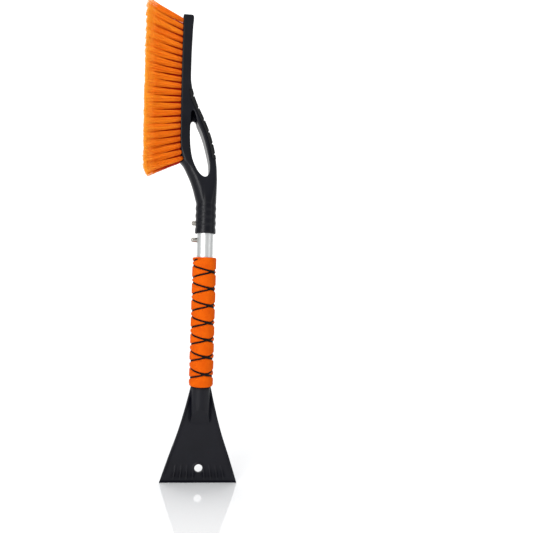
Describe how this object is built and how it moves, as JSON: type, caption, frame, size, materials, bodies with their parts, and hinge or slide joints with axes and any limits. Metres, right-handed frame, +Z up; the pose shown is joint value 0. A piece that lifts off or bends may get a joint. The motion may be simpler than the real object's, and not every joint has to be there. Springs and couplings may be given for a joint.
{
  "type": "snow brush scraper",
  "caption": "Long-handled snow brush with an ice scraper at its foot, a cord-wound foam grip on an aluminium tube and a pull-off brush head locked by a snap button.",
  "frame": {"origin": "middle of the scraping edge, on the axis of the handle tube", "axes": "+Z up the handle tube towards the brush head; the bristles point along -X and the scraper's broad faces look along -Y and +Y"},
  "size_m": [0.1493, 0.0456, 0.6843],
  "materials": {
    "scraper_plastic": "fine satin moulding",
    "head_plastic": "fine satin moulding",
    "grip_rubber": "matt soft overmould",
    "tube_aluminium": "satin anodised, drawn along its length",
    "grip_foam": "closed-cell foam with a soft skin",
    "grip_cord": "braided cord",
    "steel": "plated, lightly polished",
    "spring_steel": "rolled strip",
    "bristle": "drawn synthetic filament with flagged tips"
  },
  "bodies": {
    "handle": {"scraper_blade": "scraper_plastic", "socket_screw": "steel", "handle_tube": "tube_aluminium", "foam_grip": "grip_foam", "grip_cord_right": "grip_cord", "grip_cord_left": "grip_cord", "upper_snap_spring": "spring_steel", "lower_snap_spring": "spring_steel"},
    "upper_button": {"upper_snap_button": "steel"},
    "lower_button": {"lower_snap_button": "steel"},
    "head": {"brush_head": "head_plastic", "back_grip": "grip_rubber", "bristle_row_1": "bristle", "bristle_row_2": "bristle", "bristle_row_3": "bristle", "bristle_row_4": "bristle", "tuft_staples_1": "spring_steel", "tuft_staples_2": "spring_steel", "tuft_staples_3": "spring_steel", "tuft_staples_4": "spring_steel"}
  },
  "joints": [
    {"name": "upper_button_press", "type": "slide", "parent": "handle", "child": "upper_button", "axis": [1, 0, 0], "range_m": [0, 0.008], "stiffness_N_per_m": 900, "deforming": ["upper_snap_spring"]},
    {"name": "lower_button_press", "type": "slide", "parent": "handle", "child": "lower_button", "axis": [1, 0, 0], "range_m": [0, 0.008], "stiffness_N_per_m": 900, "deforming": ["lower_snap_spring"]},
    {"name": "head_slide", "type": "slide", "parent": "handle", "child": "head", "axis": [0, 0, 1], "range_m": [0, 0.048], "deforming": ["upper_snap_button"]}
  ]
}
